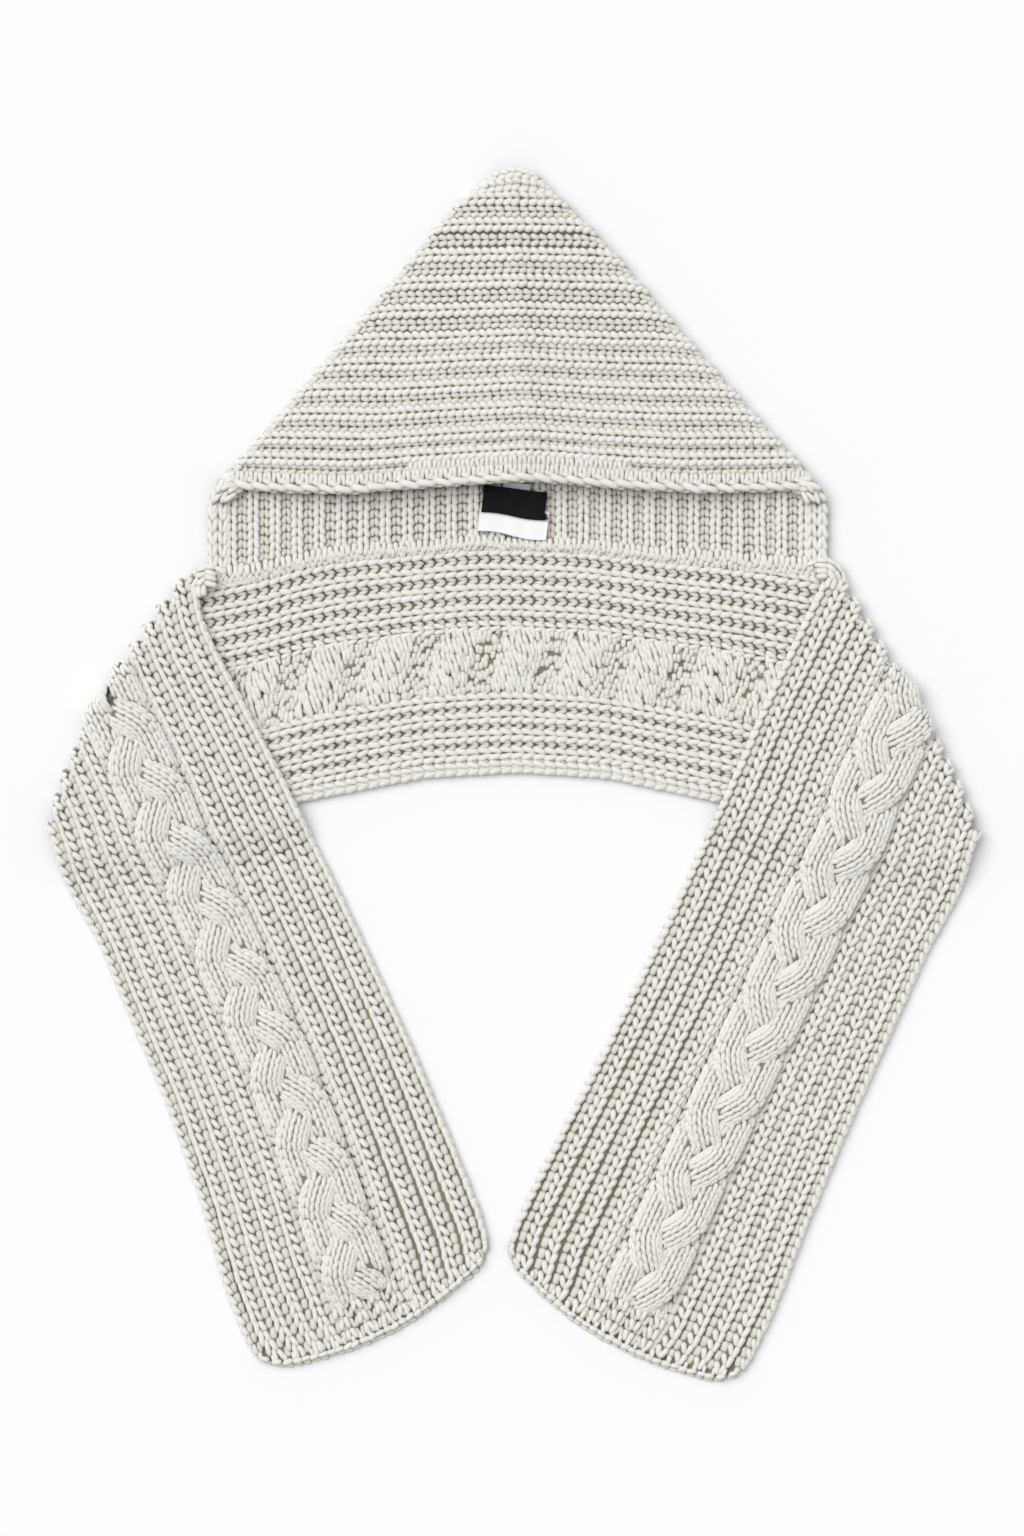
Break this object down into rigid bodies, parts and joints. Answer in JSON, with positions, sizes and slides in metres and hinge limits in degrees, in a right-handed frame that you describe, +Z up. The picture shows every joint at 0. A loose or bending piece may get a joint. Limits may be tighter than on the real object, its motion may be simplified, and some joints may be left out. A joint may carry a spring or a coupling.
{
  "type": "hooded knitted scarf",
  "caption": "Chunky knitted hood sewn to a wide plaited scarf, laid flat on its back with both scarf ends folded forward over the neck band.",
  "frame": {"origin": "on the floor under the middle of the whole outline as the hood lies flat", "axes": "+Y towards the tip of the hood, +X towards the right end of the scarf as seen from above, +Z up off the floor"},
  "size_m": [0.845, 1.0928, 0.0365],
  "materials": {
    "wool": "chunky ribbed wool knit, off-white oatmeal",
    "seam_wool": "crinkled seam of the same wool",
    "black_tape": "bare black woven label",
    "white_tape": "bare white satin size tab",
    "grey_tape": "bare light grey care label"
  },
  "bodies": {
    "root": {"hood": "wool", "scarf": "wool", "neck_seam": "seam_wool", "woven_label": "black_tape", "size_tab": "white_tape", "care_label": "grey_tape"}
  },
  "joints": []
}
